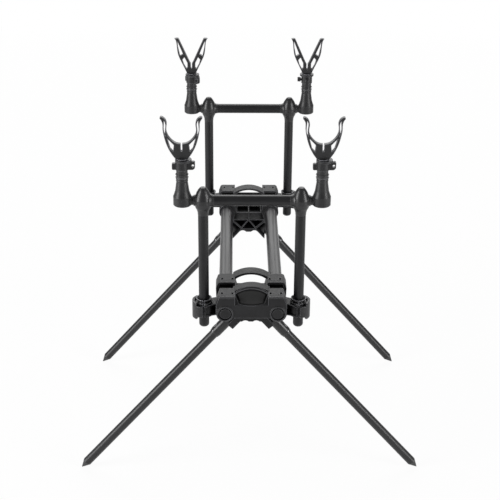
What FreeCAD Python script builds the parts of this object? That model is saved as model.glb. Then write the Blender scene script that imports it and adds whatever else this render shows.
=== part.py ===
import FreeCAD, Part
import math
import os

# Fishing rod pod: two spine tubes between two ribbed leg blocks, four folding legs,
# and two sliding posts that carry the butt grips (near end) and the rod rests (far end).
# X runs across the pod, Y from the near end to the far end, Z up. Millimetres.

# Driving dimensions
overall_height = 650.5
foot_half_spread = 290.5
leg_plane = 184.0
post_plane = 228.0
upright_half_gap = 75.0
rest_half_gap = 106.5
spine_half_gap = 41.0
spine_height = 338.5
crossbar_height = 516.5
hinge_half_gap = 30.6
hinge_height = 296.0

# Stock sizes
spine_radius = 11.0
upright_radius = 8.0
crossbar_radius = 8.5
leg_radius = 7.5
tube_wall = 1.5
stem_radius = 4.0

# Fits
slide_clearance = 0.08
turn_clearance = 0.3
press_clearance = 0.02
overrun = 5.0

V = FreeCAD.Vector
X_AXIS = V(1, 0, 0)
Y_AXIS = V(0, 1, 0)
Z_AXIS = V(0, 0, 1)
ORIGIN = V(0, 0, 0)
NEAR = -1
FAR = 1
LEFT = -1
RIGHT = 1
END_NAMES = {NEAR: "near", FAR: "far"}
SIDE_NAMES = {LEFT: "left", RIGHT: "right"}
cones_per_arc = 3
ENDS_AND_SIDES = [(end, side) for end in (NEAR, FAR) for side in (LEFT, RIGHT)]

parts = {}


# Shape helpers

def prism(points, low, high):
    """Solid with an outline in X and Z, from one Y to another."""
    corners = [V(x, low, z) for x, z in points]
    outline = Part.makePolygon(corners + corners[:1])
    return Part.Face(outline).extrude(V(0, high - low, 0))


def plan(points, low, high):
    """Solid with an outline in X and Y, from one height to another."""
    corners = [V(x, y, low) for x, y in points]
    outline = Part.makePolygon(corners + corners[:1])
    return Part.Face(outline).extrude(V(0, 0, high - low))


def block(x, y, z):
    """Box between the two values of each pair."""
    low = V(min(x), min(y), min(z))
    return Part.makeBox(max(x) - min(x), max(y) - min(y), max(z) - min(z), low)


def rod(radius, start, end):
    """Round bar between two points."""
    run = end - start
    return Part.makeCylinder(radius, run.Length, start, run)


def outline_face(start, steps):
    """Face in X and Z. A step of one point is a straight run, of two an arc, of more a smooth curve."""
    edges = []
    here = V(start[0], 0, start[1])
    for step in steps + [[start]]:
        points = [V(x, 0, z) for x, z in step]
        if len(points) == 1:
            edge = Part.makeLine(here, points[0])
        elif len(points) == 2:
            edge = Part.Arc(here, points[0], points[1]).toShape()
        else:
            curve = Part.BSplineCurve()
            curve.interpolate([here] + points)
            edge = curve.toShape()
        edges.append(edge)
        here = points[-1]
    return Part.Face(Part.Wire(edges))


def turned(start, steps):
    """Solid of revolution about Z, from an outline of radius and height, with its arcs as short cones."""
    corners = []
    for step in steps:
        if len(step) == 2:
            curve = Part.Arc(corners[-1], V(step[0][0], 0, step[0][1]), V(step[1][0], 0, step[1][1]))
            corners += curve.toShape().discretize(cones_per_arc + 1)[1:]
        else:
            corners += [V(radius, 0, height) for radius, height in step]
    first = V(start[0], 0, start[1])
    return Part.Face(Part.makePolygon([first] + corners + [first])).revolve(ORIGIN, Z_AXIS, 360)


def straight(points):
    """Outline steps that join the points by straight runs."""
    return [[point] for point in points]


def placed_along(shape, start, direction):
    """The shape modelled up the Z axis, laid along a direction from a start point."""
    turn = FreeCAD.Rotation(Z_AXIS, direction)
    return shape.transformed(FreeCAD.Placement(start, turn).toMatrix())


def mirrored_x(shape):
    return shape.mirror(ORIGIN, X_AXIS)


def mirrored_y(shape):
    return shape.mirror(ORIGIN, Y_AXIS)


def both_sides(shape):
    """The shape and its mirror image across the middle of the pod."""
    return [shape, mirrored_x(shape)]


def at_corner(shape, end, side):
    """The shape modelled at the far right, moved to another corner of the pod by mirroring."""
    if side == LEFT:
        shape = mirrored_x(shape)
    if end == NEAR:
        shape = mirrored_y(shape)
    return shape


def corner_name(end, side, piece):
    return END_NAMES[end] + "_" + SIDE_NAMES[side] + "_" + piece


def joined(first, others):
    solid = first.fuse(others)
    return solid.removeSplitter()


def rounding(corner, inward_one, inward_two, radius, run):
    """Cutter that rounds a straight edge; the two inward vectors lie along the faces beside it."""
    first = corner + inward_one * radius
    last = corner + inward_two * radius
    centre = first + inward_two * radius
    middle = centre - (inward_one + inward_two).normalize() * radius
    outside = corner - (inward_one + inward_two).normalize() * radius
    edges = [Part.Arc(first, middle, last).toShape(), Part.makeLine(last, outside),
             Part.makeLine(outside, first)]
    return Part.Face(Part.Wire(edges)).extrude(run)


# Leg blocks: the moulded heads at the two ends of the spine
block_outer_face = 213.0
block_inner_face = 151.0
tower_inner_face = 180.6
collar_radius = 14.4
pad_height = 369.5
pad_inner_x = 26.0
pad_outer_x = 50.0
tower_half_width = 56.4
block_wall = 3.0
rib_thickness = 2.0
deck_height = 338.4
deck_thickness = 1.4
outer_wall_height = 354.0
shoulder_x = 25.6
shoulder_height = 351.2
deck_edge_x = 22.5
lower_rib_top = 324.4
cell_foot_x = 28.4
arch_inner_face = 173.0
arch_outer_face = 193.6
arch_crown = 377.7
arch_thickness = 3.4
arch_foot_drop = 9.0
tower_side_shares = ((0.94, 0.95), (1.0, 0.66), (0.985, 0.0))
tower_web = 8.4

# Notches and groove in the pads
notch_width = 3.0
notch_length = 6.0
notch_depth = 2.0
notch_from_outer_face = 13.5
notch_inset = 2.3
groove_width = 1.0
groove_depth = 0.8
groove_from_outer_face = 6.4

# Hinge housing below the leg block
housing_inner_face = 164.0
housing_outer_face = 201.0
hinge_bore_half_width = 9.55
ear_thickness = 2.4
roof_above_hinge = 13.4
inner_ear_drop = 11.8
outer_ear_drop = 5.0
stop_wall = 2.5
stop_wall_reach = 0.7
nub_height = 293.0
core_half_width = 17.2
core_top_half_width = 30.0
core_side_height = 316.0
side_cell_shares = ((0.033, 0.84), (0.033, 0.96), (0.93, 0.96), (0.93, 0.79), (0.45, 0.33))
middle_cell_shares = ((0.0, 0.77), (-0.428, 0.225), (0.428, 0.225))
cradle_x = 9.8
cradle_axis_height = 287.5
cradle_radius = 8.0
hinge_pin_radius = 2.5

# Directions of a right-hand leg: down its length, and across it towards the middle
leg_run = V(foot_half_spread - hinge_half_gap, 0, -hinge_height)
leg_length = leg_run.Length
leg_down = V(leg_run).normalize()
leg_across = V(leg_down.z, 0, -leg_down.x)
hinge_point = V(hinge_half_gap, leg_plane, hinge_height)

# A folded leg lies in the cradle of the other block, so its pin leans a little along Y
folded_run = V(cradle_x, -leg_plane, cradle_axis_height) - hinge_point
folded_direction = V(folded_run).normalize()
pin_direction = leg_down.cross(folded_direction).normalize()
fold_slope = folded_run.dot(leg_across) / (2 * leg_plane)


def on_leg(down, across=0.0, y=leg_plane):
    """Point beside a right-hand far leg, by its distance from the hinge."""
    point = hinge_point + leg_down * down + leg_across * across
    return V(point.x, y, point.z)


def leg_prism(down, across, y):
    """Slanted box in line with a right-hand leg."""
    corners = []
    for d, a in ((down[0], across[0]), (down[1], across[0]), (down[1], across[1]), (down[0], across[1])):
        corner = on_leg(d, a)
        corners.append((corner.x, corner.z))
    return prism(corners, y[0], y[1])


def hinge_housing():
    """Slanted channel in which the knuckle of a leg turns, open towards the middle of the pod."""
    outside = hinge_bore_half_width + ear_thickness
    housing = leg_prism((-roof_above_hinge - ear_thickness, inner_ear_drop), (-outside, outside),
                        (housing_inner_face, housing_outer_face))
    short_ear = leg_prism((outer_ear_drop, inner_ear_drop + overrun),
                          (-outside - overrun, -hinge_bore_half_width),
                          (housing_inner_face - overrun, housing_outer_face + overrun))
    return housing.cut(short_ear)


def hinge_channel():
    """Space cut for the knuckle, with the stop wall left on the outer face."""
    channel = leg_prism((-roof_above_hinge, leg_length), (-hinge_bore_half_width, hinge_bore_half_width),
                        (block_inner_face - overrun, housing_outer_face - stop_wall))
    deepest = leg_plane - block_inner_face + overrun
    side_slope = []
    for across, back in ((0, 0), (hinge_bore_half_width, 0),
                         (hinge_bore_half_width + fold_slope * deepest, deepest), (0, deepest)):
        side_slope.append(on_leg(-roof_above_hinge, across, leg_plane - back))
    wedge = Part.Face(Part.makePolygon(side_slope + side_slope[:1])).extrude(leg_down * leg_length)
    window = leg_prism((-hinge_bore_half_width, leg_length), (-hinge_bore_half_width, stop_wall_reach),
                       (housing_outer_face - stop_wall - overrun, housing_outer_face + overrun))
    return channel.fuse([wedge, window])


def arch(inner_face, outer_face, foot_x):
    """Finger arch between two pads, as a bent strap."""
    foot = arch_crown - arch_foot_drop
    outline = outline_face((-foot_x, foot - arch_thickness),
                           [[(0, arch_crown - arch_thickness), (foot_x, foot - arch_thickness)],
                            [(foot_x + block_wall, foot)],
                            [(0, arch_crown), (-foot_x - block_wall, foot)]])
    return outline.extrude(V(0, outer_face - inner_face, 0)).translated(V(0, inner_face, 0))


def pad_cuts(outer_face):
    """The two notches and the groove between them in the pad of a tower with the given outer face."""
    inward = -math.copysign(1, outer_face)
    notch_y = outer_face + inward * notch_from_outer_face
    groove_y = outer_face + inward * groove_from_outer_face
    left = pad_inner_x + notch_inset
    right = pad_outer_x - notch_inset
    top = pad_height + overrun
    groove = block((left, right), (groove_y, groove_y + inward * groove_width),
                   (pad_height - groove_depth, top))
    cuts = [groove]
    for x in (left, right - notch_width):
        cuts.append(block((x, x + notch_width), (notch_y - notch_length / 2, notch_y + notch_length / 2),
                          (pad_height - notch_depth, top)))
    return cuts


def pad_tower():
    """Raised block with a flat pad on top, over one spine tube, with a moulding pocket in both faces."""
    height = pad_height - spine_height
    outline = [(pad_inner_x, spine_height), (pad_inner_x, pad_height), (pad_outer_x, pad_height)]
    for x_share, z_share in tower_side_shares:
        outline.append((tower_half_width * x_share, spine_height + z_share * height))
    tower = prism(outline, tower_inner_face, block_outer_face)
    inside = [(pad_inner_x + block_wall, spine_height), (pad_inner_x + block_wall, pad_height - block_wall),
              (pad_outer_x, pad_height - block_wall),
              (tower_half_width - block_wall, spine_height + height / 2),
              (tower_half_width - block_wall, spine_height)]
    pocket = prism(inside, tower_inner_face - overrun, block_outer_face + overrun)
    middle = (tower_inner_face + block_outer_face) / 2
    web = prism(outline, middle - tower_web / 2, middle + tower_web / 2)
    return tower.cut([pocket.cut(web)] + pad_cuts(block_outer_face))


def leg_block():
    """Leg block of the far end: collars, deck, towers, arch, ribs and hinge housings."""
    lower_rib_bottom = lower_rib_top - rib_thickness
    deck = prism([(-deck_edge_x, deck_height), (deck_edge_x, deck_height), (shoulder_x, lower_rib_top),
                  (shoulder_x, lower_rib_bottom), (-shoulder_x, lower_rib_bottom),
                  (-shoulder_x, lower_rib_top)], block_inner_face, block_outer_face)
    outer_wall = block((-pad_inner_x, pad_inner_x), (block_outer_face - block_wall, block_outer_face),
                       (deck_height - block_wall, outer_wall_height))
    core = prism([(-core_half_width, nub_height), (core_half_width, nub_height),
                  (core_top_half_width, core_side_height), (core_top_half_width, lower_rib_bottom),
                  (-core_top_half_width, lower_rib_bottom), (-core_top_half_width, core_side_height)],
                 housing_inner_face, housing_outer_face)
    pieces = [outer_wall, core, arch(arch_inner_face, arch_outer_face, pad_inner_x)]
    collar = rod(collar_radius, V(spine_half_gap, block_inner_face, spine_height),
                 V(spine_half_gap, block_outer_face, spine_height))
    shoulder = prism([(deck_edge_x, deck_height), (shoulder_x, shoulder_height),
                      (spine_half_gap, spine_height + collar_radius),
                      (spine_half_gap, spine_height - collar_radius), (shoulder_x, lower_rib_bottom)],
                     block_inner_face, block_outer_face)
    for piece in (collar, shoulder, pad_tower(), hinge_housing()):
        pieces += both_sides(piece)
    body = joined(deck, pieces)

    cell_roof = deck_height - deck_thickness
    half_rib = rib_thickness / 2
    upper_cell = prism([(half_rib, lower_rib_top), (cell_foot_x, lower_rib_top),
                        (cell_foot_x - block_wall, cell_roof), (half_rib, cell_roof)],
                       block_inner_face - overrun, block_outer_face - block_wall)
    deck_window = block((half_rib, deck_edge_x - half_rib),
                        (block_inner_face + block_wall, block_outer_face - 2 * block_wall),
                        (cell_roof - overrun, deck_height + overrun / 2))
    cell_depth = (housing_inner_face - overrun, housing_outer_face - stop_wall)
    core_height = lower_rib_bottom - nub_height
    cells = []
    for shares in (side_cell_shares, middle_cell_shares):
        outline = [(core_top_half_width * x, nub_height + core_height * z) for x, z in shares]
        cells.append(prism(outline, cell_depth[0], cell_depth[1]))
    side_cell, middle_cell = cells
    bore = rod(spine_radius + press_clearance, V(spine_half_gap, block_inner_face - overrun, spine_height),
               V(spine_half_gap, block_outer_face + overrun, spine_height))
    cradle_point = V(cradle_x, leg_plane, cradle_axis_height)
    cradle_run = V(folded_direction.x, -folded_direction.y, folded_direction.z)
    cradle_run = cradle_run * (block_outer_face - block_inner_face)
    cradle = rod(cradle_radius, cradle_point - cradle_run, cradle_point + cradle_run)
    pin_reach = pin_direction * 2 * hinge_bore_half_width
    pin_hole = rod(hinge_pin_radius, hinge_point - pin_reach, hinge_point + pin_reach)
    cuts = [middle_cell]
    for cut in (upper_cell, deck_window, side_cell, bore, cradle, hinge_channel(), pin_hole):
        cuts += both_sides(cut)
    return body.cut(cuts)


far_block = leg_block()
parts["near_leg_block"] = mirrored_y(far_block)
parts["far_leg_block"] = far_block

# End block with the badge panel, near end only
end_outer_face = -262.0
end_inner_face = -233.0
pad_lip = 3.0
boss_half_gap = 41.5
boss_radius = 13.75
boss_rim_radius = 12.6
boss_bore_radius = 11.1
boss_stand = 1.5
end_bottom = 331.0
end_half_width = 55.2
badge_top_y = -244.0
badge_top_half_width = 25.7
badge_bottom_half_width = 20.0
badge_bottom_height = 352.7
badge_recess_depth = 1.5
badge_thickness = 1.2
badge_side_shares = (0.14, 0.68)
end_arch_inner_face = -226.7


def badge_outline(offset, shrink):
    """Outline of the badge panel on the slanted front face, moved along Y by the offset."""
    slope = (badge_top_y - end_outer_face) / (arch_crown - badge_bottom_height)

    def place(x, z):
        return V(x, end_outer_face + (z - badge_bottom_height) * slope + offset, z)

    low = badge_bottom_height + shrink
    high = arch_crown - arch_thickness - shrink
    side_low, side_high = [low + (high - low) * share for share in badge_side_shares]
    top_x = badge_top_half_width - shrink
    bottom_x = badge_bottom_half_width - shrink
    top = Part.Arc(place(-top_x, side_high), place(0, high), place(top_x, side_high)).toShape()
    bottom = Part.Arc(place(bottom_x, side_low), place(0, low), place(-bottom_x, side_low)).toShape()
    right = Part.makeLine(place(top_x, side_high), place(bottom_x, side_low))
    left = Part.makeLine(place(-bottom_x, side_low), place(-top_x, side_high))
    return Part.Wire([top, right, bottom, left])


def end_block():
    """Moulded block outboard of the near leg block, with two tube bosses and a slanted panel."""
    front_points = [(end_outer_face, end_bottom), (end_outer_face, badge_bottom_height),
                    (badge_top_y, arch_crown), (badge_top_y, arch_crown - arch_thickness),
                    (badge_top_y + block_wall, arch_crown - arch_thickness),
                    (end_inner_face, badge_bottom_height), (end_inner_face, end_bottom)]
    panel_x = pad_inner_x + block_wall
    corners = [V(-panel_x, y, z) for y, z in front_points]
    panel = Part.Face(Part.makePolygon(corners + corners[:1])).extrude(V(2 * panel_x, 0, 0))
    crown_radius = (pad_inner_x ** 2 + arch_foot_drop ** 2) / (2 * arch_foot_drop)
    crown = rod(crown_radius, V(0, end_outer_face - overrun, arch_crown - crown_radius),
                V(0, end_inner_face + overrun, arch_crown - crown_radius))
    keep = block((-end_half_width, end_half_width), (end_outer_face - overrun, end_inner_face + overrun),
                 (end_bottom - overrun, arch_crown - arch_foot_drop)).fuse(crown)
    panel = panel.common(keep)
    tower_middle = (pad_height + spine_height) / 2
    tower = prism([(pad_inner_x, end_bottom), (pad_inner_x, pad_height), (pad_outer_x, pad_height),
                   (end_half_width, tower_middle), (end_half_width, spine_height), (pad_outer_x, end_bottom)],
                  end_inner_face, end_outer_face)
    lip = block((pad_inner_x, pad_outer_x), (end_outer_face - pad_lip, end_outer_face),
                (pad_height - pad_lip, pad_height))
    boss_face = V(boss_half_gap, end_outer_face, spine_height)
    boss = rod(boss_radius, boss_face, V(boss_half_gap, end_inner_face, spine_height))
    boss_rim = Part.makeCone(boss_radius, boss_rim_radius, boss_stand, boss_face, -Y_AXIS)
    pieces = [arch(end_arch_inner_face, badge_top_y, pad_inner_x)]
    for piece in (tower, lip, boss, boss_rim):
        pieces += both_sides(piece)
    body = joined(panel, pieces)

    cuts = [Part.Face(badge_outline(-overrun, 0.0)).extrude(V(0, overrun + badge_recess_depth, 0))]
    counterbore = rod(boss_bore_radius, boss_face - Y_AXIS * overrun, boss_face + Y_AXIS * pad_lip)
    bore = rod(spine_radius + press_clearance, V(spine_half_gap, end_outer_face, spine_height),
               V(spine_half_gap, end_inner_face + overrun, spine_height))
    for cut in [counterbore, bore] + pad_cuts(end_outer_face - pad_lip):
        cuts += both_sides(cut)
    return body.cut(cuts)


parts["end_block"] = end_block()
badge = Part.Face(badge_outline(badge_recess_depth - badge_thickness, turn_clearance))
parts["badge_plate"] = badge.extrude(V(0, badge_thickness, 0))

# Spine tubes and their end caps
spine_near_inset = 2.0
spine_near_end = end_outer_face + spine_near_inset
spine_far_end = 236.0
cap_radius = 9.1
cap_thickness = 3.0
cap_chamfer = 1.0
plug_length = 8.0


def spine_tube(side):
    start = V(side * spine_half_gap, spine_near_end, spine_height)
    end = V(side * spine_half_gap, spine_far_end, spine_height)
    return rod(spine_radius, start, end).cut(rod(spine_radius - tube_wall, start, end))


def spine_cap(side, y, outward):
    """Cap with a chamfered disc outside the tube and a plug in its bore."""
    plug_radius = spine_radius - tube_wall
    disc_edge = cap_thickness - cap_chamfer
    profile = [(plug_radius, -plug_length), (plug_radius, 0), (cap_radius, 0), (cap_radius, disc_edge),
               (cap_radius - cap_chamfer, cap_thickness), (0, cap_thickness)]
    cap = turned((0, -plug_length), straight(profile))
    return placed_along(cap, V(side * spine_half_gap, y, spine_height), Y_AXIS * outward)


for side in (LEFT, RIGHT):
    parts["spine_tube_" + SIDE_NAMES[side]] = spine_tube(side)
caps = []
for side in (LEFT, RIGHT):
    caps.append(spine_cap(side, spine_near_end, NEAR))
    caps.append(spine_cap(side, spine_far_end, FAR))
parts["spine_end_caps"] = Part.makeCompound(caps)

# Clamp bridges: cross pieces between the blocks, with a hollow arm and a split cup at each side
bridge_low = 323.0
bridge_high = 344.0
bridge_inner_face = block_outer_face
bridge_outer_face = -end_inner_face
bridge_pocket_depth = 6.6
arm_front_inner = 236.0
arm_front_outer = 241.0
arm_wall = 1.6
arm_tip_drop = 5.0
cup_radius = 14.6
cup_thin_radius = 12.6
cup_bore_radius = 10.4
cup_low = 322.0
cup_high = 340.0
cup_slot_start = -0.9
cup_slot_width = 2.2
flange_thickness = 2.6
lever_pin_radius = 1.6
lever_eye_radius = 3.2
lever_pin_angle = 52.0
lever_pin_orbit = 18.0
ear_height = 3.0

far_clamp = V(upright_half_gap, post_plane, 0)
pin_bearing = math.radians(lever_pin_angle)
far_lever_pin = far_clamp + V(math.cos(pin_bearing), -math.sin(pin_bearing), 0) * lever_pin_orbit

# Bush sizes
bush_lip_height = 350.7
bush_lip_radius = 12.2
bush_mouth_radius = 11.2
bush_mouth_depth = 3.0
bush_ring_height = 346.0
bush_ring_radius = 12.8
bush_neck_radius = 10.2
bush_slot_width = 1.6
bush_edge = 1.2


def clamp_bridge():
    """Cross piece of the far end, bored for the spine tubes, with its two arms and cups."""
    middle = block((-spine_half_gap, spine_half_gap), (bridge_inner_face, bridge_outer_face),
                   (bridge_low, bridge_high))
    pocket = block((-shoulder_x, shoulder_x),
                   (bridge_outer_face - bridge_pocket_depth, bridge_outer_face + overrun),
                   (bridge_low + arm_wall, bridge_high - arm_wall))
    middle = middle.cut(pocket)
    arm_root = boss_half_gap + boss_radius + turn_clearance
    arm = plan([(spine_half_gap, bridge_inner_face), (upright_half_gap, bridge_inner_face),
                (upright_half_gap, arm_front_outer), (arm_root, arm_front_inner),
                (arm_root, bridge_outer_face), (spine_half_gap, bridge_outer_face)],
               bridge_low, bridge_high)
    taper_end = upright_half_gap + overrun
    taper = prism([(end_half_width, bridge_high), (taper_end, bridge_high - arm_tip_drop),
                   (taper_end, bridge_high + overrun), (end_half_width, bridge_high + overrun)],
                  bridge_inner_face - overrun, arm_front_outer + overrun)
    arm = arm.cut(taper)
    collar = rod(collar_radius, V(spine_half_gap, bridge_inner_face, spine_height),
                 V(spine_half_gap, bridge_outer_face, spine_height))
    cup = rod(cup_radius, far_clamp + Z_AXIS * cup_low, far_clamp + Z_AXIS * cup_high)
    slot_x = upright_half_gap + cup_slot_start
    tip_x = slot_x - flange_thickness
    flange = block((tip_x, slot_x), (post_plane, post_plane + cup_radius), (cup_low, cup_high))
    side_pieces = [arm, collar, cup, flange]
    for height in (cup_low, cup_high - ear_height):
        ear = rod(lever_eye_radius, far_lever_pin + Z_AXIS * height,
                  far_lever_pin + Z_AXIS * (height + ear_height))
        link = plan([(upright_half_gap, post_plane), (upright_half_gap, post_plane - cup_radius),
                     (far_lever_pin.x, far_lever_pin.y - lever_eye_radius),
                     (far_lever_pin.x + lever_eye_radius, far_lever_pin.y)], height, height + ear_height)
        side_pieces += [ear, link]
    pieces = []
    for piece in side_pieces:
        pieces += both_sides(piece)
    body = joined(middle, pieces)

    tip_high = bridge_high - arm_tip_drop * (tip_x - end_half_width) / (taper_end - end_half_width)
    arm_pocket = prism([(arm_root + arm_wall / 2, bridge_low + arm_wall), (tip_x, bridge_low + arm_wall),
                        (tip_x, tip_high - arm_wall), (arm_root + arm_wall / 2, bridge_high - arm_wall)],
                       bridge_inner_face + block_wall, arm_front_outer + overrun)
    thin_cup = rod(cup_thin_radius, far_clamp + Z_AXIS * cup_low, far_clamp + Z_AXIS * cup_high)
    arm_pocket = arm_pocket.cut(thin_cup)
    bore = rod(cup_bore_radius, far_clamp + Z_AXIS * (cup_low - overrun),
               far_clamp + Z_AXIS * (cup_high + overrun))
    slot = block((slot_x, slot_x + cup_slot_width), (post_plane, post_plane + cup_radius + overrun),
                 (cup_low - overrun, cup_high + overrun))
    tube_hole = rod(spine_radius + press_clearance,
                    V(spine_half_gap, bridge_inner_face - overrun, spine_height),
                    V(spine_half_gap, bridge_outer_face + overrun, spine_height))
    pin_hole = rod(lever_pin_radius, far_lever_pin + Z_AXIS * (cup_low - overrun),
                   far_lever_pin + Z_AXIS * (cup_high + overrun))
    ring_seat = rod(bush_ring_radius + turn_clearance, far_clamp + Z_AXIS * cup_high,
                    far_clamp + Z_AXIS * (cup_high + overrun))
    cuts = []
    for cut in (arm_pocket, bore, slot, tube_hole, pin_hole, ring_seat):
        cuts += both_sides(cut)
    return body.cut(cuts)


far_bridge = clamp_bridge()
parts["near_clamp_bridge"] = mirrored_y(far_bridge)
parts["far_clamp_bridge"] = far_bridge


# Split bushes that grip the uprights, with a ring on the cup and a flared lip above it
def clamp_bush():
    bore = upright_radius + slide_clearance
    ring_edge = bush_ring_height - bush_edge
    profile = [(cup_bore_radius, cup_low), (cup_bore_radius, cup_high), (bush_ring_radius, cup_high),
               (bush_ring_radius, ring_edge), (bush_neck_radius, bush_ring_height),
               (bush_lip_radius, bush_lip_height - bush_edge), (bush_lip_radius, bush_lip_height),
               (bush_mouth_radius, bush_lip_height), (bore, bush_lip_height - bush_mouth_depth)]
    bush = turned((bore, cup_low), straight(profile)).translated(far_clamp)
    middle = upright_half_gap + cup_slot_start + cup_slot_width / 2
    slot = block((middle - bush_slot_width / 2, middle + bush_slot_width / 2),
                 (post_plane, post_plane + cup_radius + overrun),
                 (cup_low - overrun, bush_lip_height + overrun))
    return bush.cut(slot)


far_right_bush = clamp_bush()
bushes = [at_corner(far_right_bush, end, side) for end, side in ENDS_AND_SIDES]
parts["clamp_bushes"] = Part.makeCompound(bushes)

# Clamp levers: curved shells that wrap the cups
lever_thickness = 3.8
lever_low = 319.0
lever_high = 347.0
lever_front_low = 323.2
lever_front_high = 341.5
lever_front_angle = 83.0
lever_side_angle = 43.0
lever_shell_angle = -34.0
lever_lap_angle = 6.0
lever_corner_radius = 5.0
lever_jaw_corner_radius = 3.0
sector_steps = 6


def round_clamp(angle, radius, height):
    """Point round the far right upright, by its bearing in degrees from +X."""
    bearing = math.radians(angle)
    return V(far_clamp.x + radius * math.cos(bearing), far_clamp.y + radius * math.sin(bearing), height)


def ring_sector(inner, outer, start_angle, end_angle, low, high):
    """Part of a ring round the far right upright, between two angles from +X."""
    ring = rod(outer, far_clamp + Z_AXIS * low, far_clamp + Z_AXIS * high)
    ring = ring.cut(rod(inner, far_clamp + Z_AXIS * low, far_clamp + Z_AXIS * high))
    points = [(far_clamp.x, far_clamp.y)]
    for step in range(sector_steps + 1):
        angle = start_angle + (end_angle - start_angle) * step / sector_steps
        point = round_clamp(angle, outer * 2, low)
        points.append((point.x, point.y))
    return ring.common(plan(points, low, high))


def sector_rounding(angle, radial, height, round_way, up_way, radius):
    """Cutter that rounds one corner of a sector's end, seen from outside the clamp."""
    bearing = math.radians(angle)
    outwards = V(math.cos(bearing), math.sin(bearing), 0)
    around = V(-math.sin(bearing), math.cos(bearing), 0) * round_way
    corner = round_clamp(angle, radial, height)
    return rounding(corner, around, Z_AXIS * up_way, radius, outwards * radial)


def clamp_lever():
    """Lever of the far right clamp: tall outer shell, low front jaw, top web and a barrel on the pin."""
    inner = cup_radius + turn_clearance
    outer = inner + lever_thickness
    neck_low = cup_low + ear_height + turn_clearance
    neck_high = cup_high - ear_height - turn_clearance
    shell_end = lever_side_angle + lever_lap_angle
    jaw = ring_sector(inner, outer, lever_side_angle, lever_front_angle, lever_front_low, lever_front_high)
    shell = ring_sector(inner, outer, lever_shell_angle, shell_end, lever_low, lever_high)
    web = ring_sector(inner, outer, -lever_pin_angle, lever_shell_angle + lever_lap_angle,
                      lever_front_high, lever_high)
    neck = ring_sector(inner, outer, -lever_pin_angle, lever_shell_angle + lever_lap_angle,
                       neck_low, neck_high)
    barrel = rod(lever_eye_radius - turn_clearance / 2, far_lever_pin + Z_AXIS * neck_low,
                 far_lever_pin + Z_AXIS * neck_high)
    lever = joined(shell, [jaw, barrel, neck, web])
    near_axis = inner / 2
    cuts = [sector_rounding(shell_end, near_axis, lever_high, -1, -1, lever_corner_radius),
            sector_rounding(shell_end, near_axis, lever_low, -1, 1, lever_corner_radius / 2),
            sector_rounding(lever_shell_angle, near_axis, lever_low, 1, 1, lever_corner_radius),
            sector_rounding(lever_front_angle, near_axis, lever_front_high, -1, -1, lever_jaw_corner_radius),
            sector_rounding(lever_front_angle, near_axis, lever_front_low, -1, 1, lever_jaw_corner_radius),
            rod(lever_pin_radius + slide_clearance, far_lever_pin + Z_AXIS * cup_low,
                far_lever_pin + Z_AXIS * cup_high)]
    return lever.cut(cuts)


far_right_lever = clamp_lever()
for end, side in ENDS_AND_SIDES:
    parts[corner_name(end, side, "clamp_lever")] = at_corner(far_right_lever, end, side)

# Pins of the levers and of the legs
lever_pin_head_radius = 2.6
pin_head_radius = 4.0
pin_head_thickness = 1.2
hinge_reach = hinge_bore_half_width + ear_thickness


def lever_pin():
    start = far_lever_pin + Z_AXIS * (cup_low - pin_head_thickness)
    end = far_lever_pin + Z_AXIS * cup_high
    head = rod(lever_pin_head_radius, end, end + Z_AXIS * pin_head_thickness)
    return rod(lever_pin_radius, start, end).fuse(head)


def hinge_pin():
    start = hinge_point - pin_direction * (hinge_reach + turn_clearance)
    end = hinge_point + pin_direction * hinge_reach
    head = rod(pin_head_radius, start, start - pin_direction * pin_head_thickness)
    return rod(hinge_pin_radius, start, end).fuse(head)


pins = []
for end, side in ENDS_AND_SIDES:
    pins.append(at_corner(lever_pin(), end, side))
    pins.append(at_corner(hinge_pin(), end, side))
parts["lever_and_leg_pins"] = Part.makeCompound(pins)

# Screws that hold the leg blocks on the spine tubes, from below
screw_radius = 1.5
screw_head_radius = 2.6
screw_head_height = 1.5
screw_plane = 157.0


def block_screw():
    top = spine_height - spine_radius + tube_wall
    bottom = spine_height - collar_radius
    shank = rod(screw_radius, V(spine_half_gap, screw_plane, bottom), V(spine_half_gap, screw_plane, top))
    head = rod(screw_head_radius, V(spine_half_gap, screw_plane, bottom - screw_head_height),
               V(spine_half_gap, screw_plane, bottom))
    return shank.fuse(head)


screws = [at_corner(block_screw(), end, side) for end, side in ENDS_AND_SIDES]
parts["block_screws"] = Part.makeCompound(screws)
for name in ("near_leg_block", "far_leg_block", "spine_tube_left", "spine_tube_right"):
    parts[name] = parts[name].cut(screws)

# Posts: two uprights, a crossbar, two ball tees and two bell ends at each end of the pod.
# The tees and foot caps plug into the bores of the tubes.
upright_bottom = 305.0
foot_cap_bottom = 301.0
tee_neck_bottom = 493.2
tee_neck_step = 0.2
tee_radius = 14.0
tee_top = 538.3
tee_neck_share = 0.084
tee_neck_radius_share = 0.607
tee_curve_shares = (((0.70, 0.186), (0.85, 0.273)), ((1.0, 0.488), (0.836, 0.705)),
                    ((0.643, 0.847), (0.321, 0.987)))
tee_plug_length = 15.0
sleeve_root = 9.6
sleeve_root_radius = 11.5
sleeve_waist = 12.4
sleeve_waist_radius = 9.6
sleeve_end = 16.7
sleeve_step = 0.2
seat_radius = 8.6
seat_stand = 0.4
bell_bottom = 509.0
bell_radius = 14.0
bell_edge = 1.3
bell_drum_top = 525.0
bell_cone_radius = 10.8
bell_cone_low = 532.8
bell_cone_top = 548.0
bell_neck_radius = 8.7
bell_ridge_radius = 9.3
bell_ridge_pitch = 2.7
bell_ridge_count = 3
bell_top = 566.7
waist_radius = 7.2
spigot_radius = 5.5

crossbar_end = upright_half_gap - sleeve_end
seat_x = upright_half_gap + tee_radius + seat_stand
far_tee = V(upright_half_gap, post_plane, 0)


def upright():
    start = V(upright_half_gap, post_plane, upright_bottom)
    finish = V(upright_half_gap, post_plane, tee_neck_bottom)
    return rod(upright_radius, start, finish).cut(rod(upright_radius - tube_wall, start, finish))


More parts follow.
